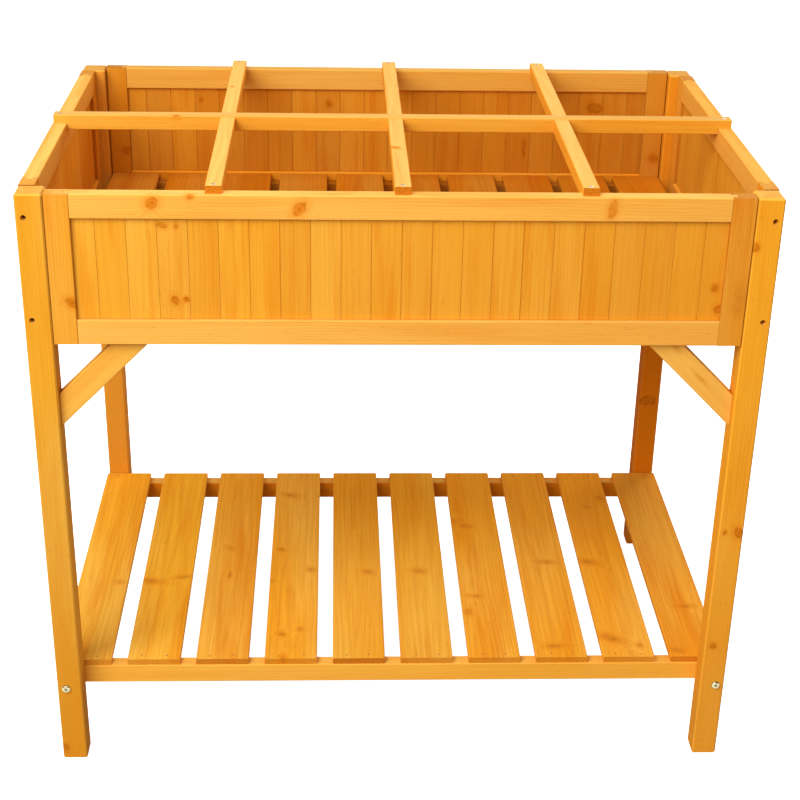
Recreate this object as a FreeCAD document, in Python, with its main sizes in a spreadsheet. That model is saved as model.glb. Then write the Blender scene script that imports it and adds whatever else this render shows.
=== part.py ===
import FreeCAD, Part
import math
import os
from types import SimpleNamespace

import Sketcher
from FreeCAD import Placement, Rotation, Vector

# Raised garden bed on four legs: framed board panels round a slatted floor, with a divider grid on top and a
# slatted shelf below. X runs left to right, Y front to back and Z up, from the ground under the bed's middle.

doc = FreeCAD.newDocument("raised_garden_bed")

# Driving sizes in millimetres, and a few counts
sizes = {
    "bed_width": 1000.0,  # over the legs, left to right
    "bed_depth": 660.0,  # over the legs, front to back
    "bed_height": 900.0,  # top of the legs and the panels
    "leg_side": 36.0,
    "leg_ease": 2.0,  # bevel of the long edges
    "leg_end_ease": 2.5,  # bevel round the top and the foot
    "panel_height": 210.0,
    "panel_gap": 0.8,  # between a panel's end and the leg
    "frame_thickness": 21.0,
    "frame_ease": 1.0,
    "stile_width": 33.0,
    "top_rail_height": 33.0,
    "bottom_rail_height": 35.0,
    "groove_depth": 8.0,
    "groove_clear": 0.15,  # on each face of a board or tenon in its groove
    "groove_end_clear": 0.5,  # between the end of a board or tenon and the bottom of its groove
    "board_thickness": 9.0,
    "board_pitch": 40.0,
    "board_seam": 0.3,  # open joint between two boards
    "board_bevel": 0.4,
    "tongue_length": 4.0,
    "tongue_thickness": 3.0,
    "tongue_clear": 0.25,
    "cleat_width": 20.0,
    "cleat_height": 22.0,
    "cleat_end_gap": 0.5,
    "slat_width": 79.0,
    "slat_thickness": 10.0,
    "slat_ease": 1.5,
    "slat_count": 10,
    "floor_end_gap": 0.5,  # between a floor slat's end and the panel
    "floor_side_gap": 1.5,  # between the outer floor slats and the legs
    "shelf_rail_bottom": 115.0,
    "shelf_rail_height": 30.0,
    "shelf_rail_thickness": 21.0,
    "shelf_overhang": 3.0,  # outer shelf slats past the legs
    "shelf_end_gap": 1.5,  # between a shelf slat's end and the leg
    "brace_width": 34.0,
    "brace_thickness": 20.0,
    "brace_reach": 129.0,  # along the leg and along the panel
    "brace_setback": 12.0,  # from the leg's outer face
    "cross_bar_count": 3,
    "cross_bar_width": 21.5,
    "cross_bar_height": 20.0,
    "cross_bar_setback": 6.0,  # end of the bar from the panel's outer face
    "long_bar_width": 21.0,
    "long_bar_height": 21.5,
    "long_bar_setback": 2.0,
    "bar_drop": 9.0,  # bars hang this far below the top of the panels
    "bar_ease": 1.0,
    "halving_depth": 10.0,
    "halving_clear": 0.1,
    "lap_gap": 0.5,  # between the shoulder of an end lap and the panel
    "screw_diameter": 4.0,
    "screw_length": 45.0,
    "screw_head": 7.2,
    "screw_head_height": 2.6,
    "screw_bore": 7.8,
    "screw_bore_depth": 14.0,
    "screw_from_top": 32.0,
    "screw_from_bottom": 34.5,
    "screw_stagger": 16.0,  # keeps the two directions of screws in a leg apart
    "short_screw_diameter": 3.5,
    "short_screw_length": 30.0,
    "short_screw_head": 6.6,
    "short_screw_head_height": 2.2,
    "short_screw_bore": 7.0,
    "short_screw_sink": 0.2,  # head below the bar's top
    "cleat_bore_depth": 8.0,
    "pilot_clear": 0.1,
    "pilot_extra": 1.0,  # hole deeper than the screw's tip
    "tip_length": 5.0,
    "tip_diameter": 1.0,
    "bolt_diameter": 6.0,
    "bolt_clear": 0.4,
    "bolt_head": 12.6,
    "bolt_head_height": 3.8,
    "bolt_crown": 6.3,  # flat middle of the domed head
    "bolt_rim": 1.0,
    "bolt_inset": 13.0,  # from the leg's outer side face
    "bolt_tail": 1.5,  # past the nut
    "nut_width": 10.0,
    "nut_height": 5.0,
}

sheet = doc.addObject("Spreadsheet::Sheet", "sizes")
for row, (alias, number) in enumerate(sizes.items(), start=1):
    sheet.set(f"A{row}", alias)
    sheet.set(f"B{row}", str(number))
    sheet.setAlias(f"B{row}", alias)
doc.recompute()


class Size:
    # A length with its present value and the spreadsheet expression that it comes from

    def __init__(self, text, value):
        self.text = text
        self.value = value

    def __add__(self, other):
        other = as_size(other)
        return Size(f"({self.text} + {other.text})", self.value + other.value)

    def __sub__(self, other):
        other = as_size(other)
        return Size(f"({self.text} - {other.text})", self.value - other.value)

    def __mul__(self, other):
        other = as_size(other)
        return Size(f"({self.text} * {other.text})", self.value * other.value)

    def __truediv__(self, other):
        other = as_size(other)
        return Size(f"({self.text} / {other.text})", self.value / other.value)

    def __neg__(self):
        return Size(f"(0 - {self.text})", -self.value)

    __radd__ = __add__
    __rmul__ = __mul__


def as_size(number):
    return number if isinstance(number, Size) else Size(repr(number), number)


def round_up(length):
    return Size(f"ceil({length.text})", math.ceil(length.value))


size = SimpleNamespace(**{alias: Size(f"sizes.{alias}", float(sheet.get(alias))) for alias in sizes})
root_two = Size("sqrt(2)", math.sqrt(2))
root_three = Size("sqrt(3)", math.sqrt(3))
zero = as_size(0)

# Places that several pieces share
half_width = size.bed_width / 2
half_depth = size.bed_depth / 2
panel_bottom = size.bed_height - size.panel_height
inner_half_width = half_width - size.frame_thickness
inner_half_depth = half_depth - size.frame_thickness
leg_inner_x = half_width - size.leg_side
leg_inner_y = half_depth - size.leg_side
frame_middle = size.frame_thickness / 2
groove_width = size.board_thickness + 2 * size.groove_clear
groove_near = frame_middle - groove_width / 2
groove_far = frame_middle + groove_width / 2
bury = size.groove_depth - size.groove_end_clear  # how far a board or tenon goes into its groove
bar_bottom = size.bed_height - size.bar_drop
cross_bar_pitch = (2 * inner_half_width + size.cross_bar_width) / (size.cross_bar_count + 1)
cross_bar_numbers = range(int(size.cross_bar_count.value))
cross_bar_places = [cross_bar_pitch * (number + 1) - inner_half_width - size.cross_bar_width / 2
                    for number in cross_bar_numbers]
cross_lap = size.cross_bar_height - size.bar_drop  # wood above the rail at a cross bar's end
long_lap = size.long_bar_height - size.bar_drop
brace_foot = size.brace_width * root_two  # length of the brace's slanted end on the leg
brace_screw_level = panel_bottom - size.brace_reach + brace_foot / 2
brace_head_x = leg_inner_x - size.brace_reach + brace_foot / 2
brace_head_inward = (size.frame_thickness + size.brace_setback + size.brace_thickness) / 2
brace_middle_inward = size.brace_setback + size.brace_thickness / 2
upper_screw = size.bed_height - size.screw_from_top
lower_screw = panel_bottom + size.screw_from_bottom
screw_levels = {"Y": (upper_screw, lower_screw),
                "X": (upper_screw - size.screw_stagger, lower_screw + size.screw_stagger)}
screw_pilot = size.screw_diameter + size.pilot_clear
short_pilot = size.short_screw_diameter + size.pilot_clear
short_seat = size.short_screw_head_height + size.short_screw_sink  # counterbore in a divider bar
screw_past_leg = size.screw_length - size.leg_side + size.screw_bore_depth + size.pilot_extra
bolt_level = size.shelf_rail_bottom + size.shelf_rail_height / 2
bolt_hole = size.bolt_diameter + size.bolt_clear
bolt_length = size.leg_side + size.shelf_rail_thickness + size.nut_height + size.bolt_tail

across = {"X": "YZ_Plane", "Y": "XZ_Plane", "Z": "XY_Plane"}
shank_sides = 8  # small bores and fasteners are faceted, which keeps so many of them light
head_sides = 12
nut_sides = 6
facet_digits = 6  # decimals kept of a facet's direction
sides = {"left": -1, "right": 1}
ends = {"front": -1, "back": 1}
near = 1e-4
parts = []


def origin_item(body, role):
    return next(item for item in body.Origin.OriginFeatures if item.Role == role)


def new_sketch(body, role, name, lift=None):
    sketch = body.newObject("Sketcher::SketchObject", name)
    sketch.AttachmentSupport = [(origin_item(body, role), "")]
    sketch.MapMode = "FlatFace"
    if lift is not None:
        sketch.setExpression("AttachmentOffset.Base.z", lift.text)
    return sketch


def hold(sketch, kind, length, *spots):
    length = as_size(length)
    number = sketch.addConstraint(Sketcher.Constraint(kind, *spots, length.value))
    sketch.setExpression(f"Constraints[{number}]", length.text)


def draw_polygon(sketch, corners):
    first = sketch.GeometryCount
    count = len(corners)
    points = [Vector(as_size(a).value, as_size(b).value, 0) for a, b in corners]
    for number in range(count):
        sketch.addGeometry(Part.LineSegment(points[number], points[(number + 1) % count]))
    for number, (a, b) in enumerate(corners):
        line = first + number
        sketch.addConstraint(Sketcher.Constraint("Coincident", line, 2, first + (number + 1) % count, 1))
        hold(sketch, "DistanceX", a, -1, 1, line, 1)
        hold(sketch, "DistanceY", b, -1, 1, line, 1)


def rectangle(a0, b0, a1, b1):
    return [(a0, b0), (a1, b0), (a1, b1), (a0, b1)]


def facets(centre, diameter, count):
    # Corners of a regular polygon, the first on the sketch's first axis
    a, b = centre
    corners = []
    for number in range(count):
        turn = 2 * math.pi * number / count
        east, north = round(math.cos(turn), facet_digits), round(math.sin(turn), facet_digits)
        corners.append((a + diameter / 2 * east, b + diameter / 2 * north))
    return corners


def place(part, x, y, z):
    for axis, length in zip("xyz", (x, y, z)):
        part.setExpression(f"Placement.Base.{axis}", as_size(length).text)


def stick(label, axis, section, length, corner):
    # A bar whose section is drawn across an axis and runs along it from the corner
    body = doc.addObject("PartDesign::Body", label)
    body.Label = label
    sketch = new_sketch(body, across[axis], f"{label}_section")
    draw_polygon(sketch, section)
    pad = body.newObject("PartDesign::Pad", f"{label}_length")
    pad.Profile = sketch
    pad.Reversed = axis == "Y"
    pad.setExpression("Length", length.text)
    place(body, *corner)
    doc.recompute()
    parts.append(body)
    return body


def bevel(body, name, names, width):
    base = body.Tip
    chamfer = body.newObject("PartDesign::Chamfer", f"{body.Name}_{name}")
    chamfer.Base = (base, names)
    chamfer.setExpression("Size", width.text)
    doc.recompute()


def ease_edges(body, width, chosen):
    edges = enumerate(body.Tip.Shape.Edges, start=1)
    bevel(body, "ease", [f"Edge{number}" for number, edge in edges if chosen(edge)], width)


def ease_long_edges(body, axis, width):
    box = body.Tip.Shape.BoundBox
    limits = ((box.XMin, box.XMax), (box.YMin, box.YMax), (box.ZMin, box.ZMax))
    crosswise = [number for number in range(3) if "XYZ"[number] != axis]

    def on_outer_corner(edge):
        middle = edge.CenterOfMass
        return all(min(abs(middle[n] - limit) for limit in limits[n]) < near for n in crosswise)

    ease_edges(body, width, on_outer_corner)


def check_cut(body, before):
    if before - body.Tip.Shape.Volume < near:
        raise ValueError(f"{body.Tip.Name} cuts nothing from {body.Label}")


def bore(body, name, role, centres, diameter, count=shank_sides, flip=False, lift=None, depth=None):
    # Holes square to a plane, right through where no depth is given
    sketch = new_sketch(body, role, f"{body.Name}_{name}_outline", lift)
    for centre in centres:
        draw_polygon(sketch, facets(centre, diameter, count))
    before = body.Tip.Shape.Volume
    pocket = body.newObject("PartDesign::Pocket", f"{body.Name}_{name}")
    pocket.Profile = sketch
    pocket.Reversed = flip
    pocket.Type = "ThroughAll" if depth is None else "Length"
    if depth is not None:
        pocket.setExpression("Length", depth.text)
    doc.recompute()
    check_cut(body, before)


def cut_through(body, name, role, outlines):
    sketch = new_sketch(body, role, f"{body.Name}_{name}_outline")
    for outline in outlines:
        draw_polygon(sketch, outline)
    before = body.Tip.Shape.Volume
    pocket = body.newObject("PartDesign::Pocket", f"{body.Name}_{name}")
    pocket.Profile = sketch
    pocket.SideType = "Symmetric"
    pocket.Type = "ThroughAll"
    doc.recompute()
    check_cut(body, before)


def make_leg(end_name, side_name):
    end, side = ends[end_name], sides[side_name]
    section = rectangle(0, 0, -side * size.leg_side, -end * size.leg_side)
    leg = stick(f"leg_{end_name}_{side_name}", "Z", section, size.bed_height,
                (side * half_width, end * half_depth, 0))
    ease_long_edges(leg, "Z", size.leg_ease)
    faces = enumerate(leg.Tip.Shape.Faces, start=1)
    caps = [f"Face{number}" for number, face in faces
            if min(abs(face.CenterOfMass.z), abs(face.CenterOfMass.z - size.bed_height.value)) < near]
    bevel(leg, "end_ease", caps, size.leg_end_ease)
    to_side_panel = [(-side * frame_middle, level) for level in screw_levels["Y"]]
    to_end_panel = [(-end * frame_middle, level) for level in screw_levels["X"]]
    to_brace = [(-end * brace_middle_inward, brace_screw_level)]
    for name, role, centres, flip in (("side_panel", "XZ_Plane", to_side_panel, end > 0),
                                      ("end_panel", "YZ_Plane", to_end_panel + to_brace, side < 0)):
        bore(leg, f"{name}_counterbores", role, centres, size.screw_bore, count=head_sides, flip=flip,
             depth=size.screw_bore_depth)
        bore(leg, f"{name}_holes", role, centres, screw_pilot, flip=flip)
    bore(leg, "bolt_hole", "XZ_Plane", [(-side * size.bolt_inset, bolt_level)], bolt_hole, flip=end > 0)


def make_panel(name):
    # One framed panel: grooved stiles and rails round a field of tongue-and-groove boards
    lengthwise = name in ends
    facing = ends[name] if lengthwise else sides[name]
    axis = "X" if lengthwise else "Y"
    half = (leg_inner_x if lengthwise else leg_inner_y) - size.panel_gap
    outer = facing * (half_depth if lengthwise else half_width)
    opening = 2 * (half - size.stile_width)

    def plan(along, inward):
        return (along, -facing * inward) if lengthwise else (-facing * inward, along)

    def spot(along):
        return (along, outer) if lengthwise else (outer, along)

    def make_stile(end_name, hand):
        profile = [(zero, zero), (size.stile_width, zero), (size.stile_width, groove_near),
                   (size.stile_width - size.groove_depth, groove_near),
                   (size.stile_width - size.groove_depth, groove_far), (size.stile_width, groove_far),
                   (size.stile_width, size.frame_thickness), (zero, size.frame_thickness)]
        section = [plan(-hand * along, inward) for along, inward in profile]
        stile = stick(f"{name}_stile_{end_name}", "Z", section, size.panel_height,
                      (*spot(hand * half), panel_bottom))
        ease_long_edges(stile, "Z", size.frame_ease)
        middle = plan(zero, frame_middle)[1 if lengthwise else 0]
        pilots = [(middle, level - panel_bottom) for level in screw_levels[axis]]
        bore(stile, "screw_pilots", across[axis], pilots, screw_pilot, flip=(hand < 0) == lengthwise,
             depth=screw_past_leg - size.panel_gap)

    def make_rail(label, height, bottom, groove_up):
        mouth = height if groove_up else zero
        depth = height - size.groove_depth if groove_up else size.groove_depth
        groove = [(groove_near, mouth), (groove_near, depth), (groove_far, depth), (groove_far, mouth)]
        lower_edge = [(zero, zero)] + ([] if groove_up else groove) + [(size.frame_thickness, zero)]
        upper_edge = [(zero, height)] + (groove if groove_up else []) + [(size.frame_thickness, height)]
        profile = lower_edge + upper_edge[::-1]
        length = opening + 2 * bury
        rail = stick(label, axis, [(-facing * inward, level) for inward, level in profile],
                     length, (*spot(-length / 2), bottom))
        ease_long_edges(rail, axis, size.frame_ease)
        cheek = (size.frame_thickness - size.board_thickness) / 2
        shoulders = []
        for along in (zero, length):
            for inward in (zero, size.frame_thickness):
                corners = rectangle(along - bury, inward - cheek, along + bury, inward + cheek)
                shoulders.append([plan(*corner) for corner in corners])
        cut_through(rail, "tenons", "XY_Plane", shoulders)
        return rail, length

    def make_boards():
        field = opening + 2 * bury
        room = size.panel_height - size.top_rail_height - size.bottom_rail_height + 2 * bury
        half_count = round_up(field / 2 / size.board_pitch)
        start = -half_count * size.board_pitch
        shown = size.board_pitch - size.board_seam
        slot = size.tongue_length - size.board_seam + size.tongue_clear
        half_tongue = size.tongue_thickness / 2
        half_slot = half_tongue + size.tongue_clear
        face = frame_middle - size.board_thickness / 2
        back = frame_middle + size.board_thickness / 2
        ease = size.board_bevel
        tip = shown + size.tongue_length
        profile = [(ease, face), (shown - ease, face), (shown, face + ease),
                   (shown, frame_middle - half_tongue), (tip, frame_middle - half_tongue),
                   (tip, frame_middle + half_tongue), (shown, frame_middle + half_tongue),
                   (shown, back - ease), (shown - ease, back), (ease, back), (zero, back - ease),
                   (zero, frame_middle + half_slot), (slot, frame_middle + half_slot),
                   (slot, frame_middle - half_slot), (zero, frame_middle - half_slot), (zero, face + ease)]
        section = [plan(start + along, inward) for along, inward in profile]
        boards = stick(f"{name}_boards", "Z", section, room,
                       (*spot(zero), panel_bottom + size.bottom_rail_height - bury))
        pattern = boards.newObject("PartDesign::LinearPattern", f"{name}_boards_row")
        pattern.Originals = [boards.Tip]
        pattern.Direction = (origin_item(boards, f"{axis}_Axis"), [""])
        pattern.Mode = "Spacing"
        pattern.setExpression("Offset", size.board_pitch.text)
        pattern.setExpression("Occurrences", (2 * half_count).text)
        boards.Tip = pattern
        doc.recompute()
        past = -start + size.board_pitch
        waste = [rectangle(hand * field / 2, zero, hand * past, size.frame_thickness) for hand in (-1, 1)]
        trims = [[plan(*corner) for corner in piece] for piece in waste]
        cut_through(boards, "trimmed_ends", "XY_Plane", trims)

    for end_name, hand in (sides if lengthwise else ends).items():
        make_stile(end_name, hand)
    make_rail(f"{name}_bottom_rail", size.bottom_rail_height, panel_bottom, True)
    top_rail, length = make_rail(f"{name}_top_rail", size.top_rail_height,
                                 size.bed_height - size.top_rail_height, False)
    setback = size.cross_bar_setback if lengthwise else size.long_bar_setback
    bars = cross_bar_places if lengthwise else [zero]
    screws = [plan(length / 2 + bar, (setback + size.frame_thickness) / 2) for bar in bars]
    lap = cross_lap if lengthwise else long_lap
    bore(top_rail, "divider_pilots", "XY_Plane", screws, short_pilot, lift=size.top_rail_height,
         depth=size.short_screw_length - lap + short_seat + size.pilot_extra)
    make_boards()


def make_floor():
    cleat_half = leg_inner_x - size.cleat_end_gap
    for end_name, end in ends.items():
        section = rectangle(0, 0, -end * size.cleat_width, size.cleat_height)
        cleat = stick(f"floor_cleat_{end_name}", "X", section, 2 * cleat_half,
                      (-cleat_half, end * inner_half_depth, panel_bottom))
        ease_long_edges(cleat, "X", size.frame_ease)
        inward = -end * (brace_head_inward - size.frame_thickness)
        heads = [(cleat_half + side * brace_head_x, inward) for side in sides.values()]
        bore(cleat, "brace_counterbores", "XY_Plane", heads, size.short_screw_bore, count=head_sides,
             lift=size.cleat_height, depth=size.cleat_bore_depth)
        bore(cleat, "brace_holes", "XY_Plane", heads, short_pilot, lift=size.cleat_height)
    span = 2 * (leg_inner_x - size.floor_side_gap)
    make_slats("floor_slat", span, inner_half_depth - size.floor_end_gap, panel_bottom + size.cleat_height)


def make_slats(name, span, half_length, bottom):
    pitch = (span - size.slat_width) / (size.slat_count - 1)
    for number in range(int(size.slat_count.value)):
        left = pitch * number - span / 2
        slat = stick(f"{name}_{number + 1}", "Y", rectangle(0, 0, size.slat_width, size.slat_thickness),
                     2 * half_length, (left, -half_length, bottom))
        ease_long_edges(slat, "Y", size.slat_ease)


def make_shelf():
    for end_name, end in ends.items():
        section = rectangle(0, 0, -end * size.shelf_rail_thickness, size.shelf_rail_height)
        rail = stick(f"shelf_rail_{end_name}", "X", section, size.bed_width,
                     (-half_width, end * leg_inner_y, size.shelf_rail_bottom))
        ease_long_edges(rail, "X", size.frame_ease)
        bolts = [(x, size.shelf_rail_height / 2) for x in (size.bolt_inset, size.bed_width - size.bolt_inset)]
        bore(rail, "bolt_holes", "XZ_Plane", bolts, bolt_hole, flip=end > 0)
    make_slats("shelf_slat", size.bed_width + 2 * size.shelf_overhang, leg_inner_y - size.shelf_end_gap,
               size.shelf_rail_bottom + size.shelf_rail_height)


def make_brace(end_name, side_name):
    end, side = ends[end_name], sides[side_name]
    profile = [(zero, -size.brace_reach), (size.brace_reach, zero), (size.brace_reach - brace_foot, zero),
               (zero, brace_foot - size.brace_reach)]
    inward = size.brace_setback if end < 0 else size.brace_setback + size.brace_thickness
    section = [(-side * along, level) for along, level in profile]
    brace = stick(f"brace_{end_name}_{side_name}", "Y", section, size.brace_thickness,
                  (side * leg_inner_x, end * (half_depth - inward), panel_bottom))

    def slanted(edge):
        start, finish = (vertex.Point for vertex in edge.Vertexes)
        return abs(start.x - finish.x) > near and abs(start.z - finish.z) > near

    ease_edges(brace, size.frame_ease, slanted)
    bore(brace, "leg_pilot", "YZ_Plane", [(size.brace_thickness / 2, brace_foot / 2 - size.brace_reach)],
         screw_pilot, flip=side < 0, depth=screw_past_leg)
    head_y = brace_head_inward - size.brace_setback
    head = (-side * (size.brace_reach - brace_foot / 2), head_y if end < 0 else size.brace_thickness - head_y)
    bore(brace, "cleat_pilot", "XY_Plane", [head], short_pilot,
         depth=size.short_screw_length - size.cleat_height + size.cleat_bore_depth + size.pilot_extra)


def bore_for_screws(bar, centres, height):
    bore(bar, "screw_counterbores", "XY_Plane", centres, size.short_screw_bore, count=head_sides,
         lift=height, depth=short_seat)
    bore(bar, "screw_holes", "XY_Plane", centres, short_pilot, lift=height)


def make_dividers():
    long_half = half_width - size.long_bar_setback
    lap_length = long_half - inner_half_width + size.lap_gap
    half_section = size.long_bar_width / 2
    section = rectangle(-half_section, zero, half_section, size.long_bar_height)
    long_bar = stick("divider_long", "X", section, 2 * long_half, (-long_half, zero, bar_bottom))
    ease_long_edges(long_bar, "X", size.bar_ease)
    notch_half = size.cross_bar_width / 2 + size.halving_clear
    middles = [long_half + x for x in cross_bar_places]
    cuts = [rectangle(middle - notch_half, -size.halving_depth, middle + notch_half, size.halving_depth)
            for middle in middles]
    cuts += [rectangle(along - lap_length, -size.bar_drop, along + lap_length, size.bar_drop)
             for along in (zero, 2 * long_half)]
    cut_through(long_bar, "joints", "XZ_Plane", cuts)
    screw_along = (size.frame_thickness - size.long_bar_setback) / 2
    screws = [(screw_along, zero), (2 * long_half - screw_along, zero)]
    bore_for_screws(long_bar, screws, size.long_bar_height)
    cross_half = half_depth - size.cross_bar_setback
    lap_length = cross_half - inner_half_depth + size.lap_gap
    notch_half = size.long_bar_width / 2 + size.halving_clear
    half_section = size.cross_bar_width / 2
    section = rectangle(-half_section, zero, half_section, size.cross_bar_height)
    for number, x in enumerate(cross_bar_places, start=1):
        bar = stick(f"divider_cross_{number}", "Y", section, 2 * cross_half, (x, -cross_half, bar_bottom))
        ease_long_edges(bar, "Y", size.bar_ease)
        above = 2 * size.cross_bar_height - size.halving_depth
        cuts = [rectangle(cross_half - notch_half, size.halving_depth, cross_half + notch_half, above)]
        cuts += [rectangle(along - lap_length, -size.bar_drop, along + lap_length, size.bar_drop)
                 for along in (zero, 2 * cross_half)]
        cut_through(bar, "joints", "YZ_Plane", cuts)
        screw_along = (size.frame_thickness - size.cross_bar_setback) / 2
        screws = [(zero, screw_along), (zero, 2 * cross_half - screw_along)]
        bore_for_screws(bar, screws, size.cross_bar_height)


def turned(*rings):
    # A faceted fastener along Z. Each ring has a diameter and a level at both ends, and a number of sides.
    solid = None
    for *rims, count in rings:
        outlines = []
        for diameter, level in rims:
            corners = facets((zero, zero), diameter, count)
            points = [Vector(a.value, b.value, level.value) for a, b in corners + corners[:1]]
            outlines.append(Part.makePolygon(points))
        ring = Part.makeLoft(outlines, True, True)
        solid = ring if solid is None else solid.fuse(ring)
    return solid


def group(label, shape, spots):
    # Identical fasteners as separate solids, each driven along its own direction from its own spot
    copies = []
    for point, direction in spots:
        base = Vector(*(as_size(length).value for length in point))
        turn = Rotation(Vector(0, 0, 1), Vector(*direction))
        copy = shape.copy()
        copy.Placement = Placement(base, turn)
        copies.append(copy)
    feature = doc.addObject("Part::Feature", label)
    feature.Label = label
    feature.Shape = Part.makeCompound(copies)
    parts.append(feature)


def screw_shape(diameter, length, head, head_height):
    shoulder = length - size.tip_length
    return turned(((head, -head_height), (head, zero), head_sides),
                  ((diameter, zero), (diameter, shoulder), shank_sides),
                  ((diameter, shoulder), (size.tip_diameter, length), shank_sides))


def make_fasteners():
    corners = [(end, side) for end in ends.values() for side in sides.values()]
    screw_spots = []
    for end, side in corners:
        seat_x = side * (half_width - size.screw_bore_depth)
        seat_y = end * (half_depth - size.screw_bore_depth)
        screw_spots += [((side * (half_width - frame_middle), seat_y, level), (0, -end, 0))
                        for level in screw_levels["Y"]]
        screw_spots += [((seat_x, end * (half_depth - frame_middle), level), (-side, 0, 0))
                        for level in screw_levels["X"]]
        brace_y = end * (half_depth - brace_middle_inward)
        screw_spots.append(((seat_x, brace_y, brace_screw_level), (-side, 0, 0)))
    screw = screw_shape(size.screw_diameter, size.screw_length, size.screw_head, size.screw_head_height)
    group("frame_screws", screw, screw_spots)

    down = (0, 0, -1)
    long_x = half_width - (size.long_bar_setback + size.frame_thickness) / 2
    cross_y = half_depth - (size.cross_bar_setback + size.frame_thickness) / 2
    short_spots = [((side * long_x, zero, size.bed_height + long_lap - short_seat), down)
                   for side in sides.values()]
    short_spots += [((x, end * cross_y, size.bed_height + cross_lap - short_seat), down)
                    for x in cross_bar_places for end in ends.values()]
    cleat_seat = panel_bottom + size.cleat_height - size.cleat_bore_depth
    short_spots += [((side * brace_head_x, end * (half_depth - brace_head_inward), cleat_seat), down)
                    for end, side in corners]
    short_screw = screw_shape(size.short_screw_diameter, size.short_screw_length, size.short_screw_head,
                              size.short_screw_head_height)
    group("short_screws", short_screw, short_spots)

    bolt = turned(((size.bolt_crown, -size.bolt_head_height), (size.bolt_head, -size.bolt_rim), head_sides),
                  ((size.bolt_head, -size.bolt_rim), (size.bolt_head, zero), head_sides),
                  ((size.bolt_diameter, zero), (size.bolt_diameter, bolt_length), shank_sides))
    hexagon = 2 * size.nut_width / root_three
    nut = turned(((hexagon, zero), (hexagon, size.nut_height), nut_sides))
    nut = nut.cut(turned(((bolt_hole, zero), (bolt_hole, size.nut_height), shank_sides)))
    bolt_x = half_width - size.bolt_inset
    nut_y = leg_inner_y - size.shelf_rail_thickness
    for label, shape, y in (("shelf_bolts", bolt, half_depth), ("shelf_nuts", nut, nut_y)):
        group(label, shape, [((side * bolt_x, end * y, bolt_level), (0, -end, 0)) for end, side in corners])


for end_name in ends:
    for side_name in sides:
        make_leg(end_name, side_name)
        make_brace(end_name, side_name)
for panel_name in (*ends, *sides):
    make_panel(panel_name)
make_floor()
make_shelf()
make_dividers()
make_fasteners()
doc.recompute()

failed = [item.Name for item in doc.Objects if "Invalid" in item.State or "Error" in item.State]
failed += [part.Label for part in parts if part.Shape.isNull() or not part.Shape.isValid()]
if failed:
    raise ValueError(f"not built: {failed}")

os.makedirs("parts", exist_ok=True)
for part in parts:
    part.Shape.exportStep(f"parts/{part.Label}.step")
print(f"{len(parts)} nodes, {sum(len(part.Shape.Solids) for part in parts)} solids")
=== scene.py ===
import math
import random

import bpy
from mathutils import Matrix, Quaternion, Vector


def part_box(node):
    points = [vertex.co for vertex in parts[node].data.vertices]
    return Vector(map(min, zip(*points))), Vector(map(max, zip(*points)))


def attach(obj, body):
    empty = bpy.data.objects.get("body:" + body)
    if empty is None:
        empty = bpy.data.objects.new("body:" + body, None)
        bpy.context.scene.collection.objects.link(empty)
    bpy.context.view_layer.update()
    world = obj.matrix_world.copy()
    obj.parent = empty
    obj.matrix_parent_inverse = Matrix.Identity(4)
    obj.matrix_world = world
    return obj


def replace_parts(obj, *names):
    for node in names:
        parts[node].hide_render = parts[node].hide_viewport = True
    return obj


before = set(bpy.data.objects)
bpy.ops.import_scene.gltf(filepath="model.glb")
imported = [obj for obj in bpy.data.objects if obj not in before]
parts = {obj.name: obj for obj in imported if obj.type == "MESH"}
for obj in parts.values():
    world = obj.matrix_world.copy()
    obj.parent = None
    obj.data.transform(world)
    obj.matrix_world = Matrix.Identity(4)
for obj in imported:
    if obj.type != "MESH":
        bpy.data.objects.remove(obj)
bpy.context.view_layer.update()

print("frame loaded,", len(parts), "nodes")


# shader helpers: an input that is a socket gets linked, anything else is set

nodeGrid = {"columns": 10, "across": 200, "down": 260}


def addNode(tree, kind, inputs, **settings):
    made = tree.nodes.new(kind)
    row, column = divmod(len(tree.nodes), nodeGrid["columns"])
    made.location = (column * nodeGrid["across"], -row * nodeGrid["down"])
    for name, value in settings.items():
        setattr(made, name, value)
    for name, value in inputs.items():
        if isinstance(value, bpy.types.NodeSocket):
            tree.links.new(value, made.inputs[name])
        else:
            made.inputs[name].default_value = value
    return made


def calc(tree, operation, first, second=0.0):
    return addNode(tree, "ShaderNodeMath", {0: first, 1: second}, operation=operation).outputs[0]


def times(tree, first, second):
    return calc(tree, "MULTIPLY", first, second)


def vectorCalc(tree, operation, first, second=(0, 0, 0)):
    made = addNode(tree, "ShaderNodeVectorMath", {0: first, 1: second}, operation=operation)
    return made.outputs["Value" if operation in ("LENGTH", "DOT_PRODUCT") else "Vector"]


def sidesOf(tree, vector):
    return addNode(tree, "ShaderNodeSeparateXYZ", {0: vector}).outputs


def spread(tree, value, low, high, lowTo=0.0, highTo=1.0):
    made = addNode(tree, "ShaderNodeMapRange",
                   {"Value": value, "From Min": low, "From Max": high, "To Min": lowTo, "To Max": highTo},
                   interpolation_type="SMOOTHSTEP")
    return made.outputs["Result"]


def blend(tree, amount, first, second, kind="MIX"):
    made = addNode(tree, "ShaderNodeMix", {0: amount, 6: first, 7: second},
                   data_type="RGBA", blend_type=kind)
    return made.outputs[2]


def shadeBy(tree, colour, amount):
    # deeper stain is redder too
    depth = addNode(tree, "ShaderNodeCombineColor",
                    {0: amount, 1: calc(tree, "POWER", amount, 2.0), 2: calc(tree, "POWER", amount, 3.0)})
    return blend(tree, 1.0, colour, depth.outputs[0], "MULTIPLY")


def noise(tree, place, scale, detail=2.0, roughness=0.5):
    stretched = vectorCalc(tree, "MULTIPLY", place, scale)
    return addNode(tree, "ShaderNodeTexNoise",
                   {"Vector": stretched, "Scale": 1.0, "Detail": detail, "Roughness": roughness}).outputs


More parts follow.
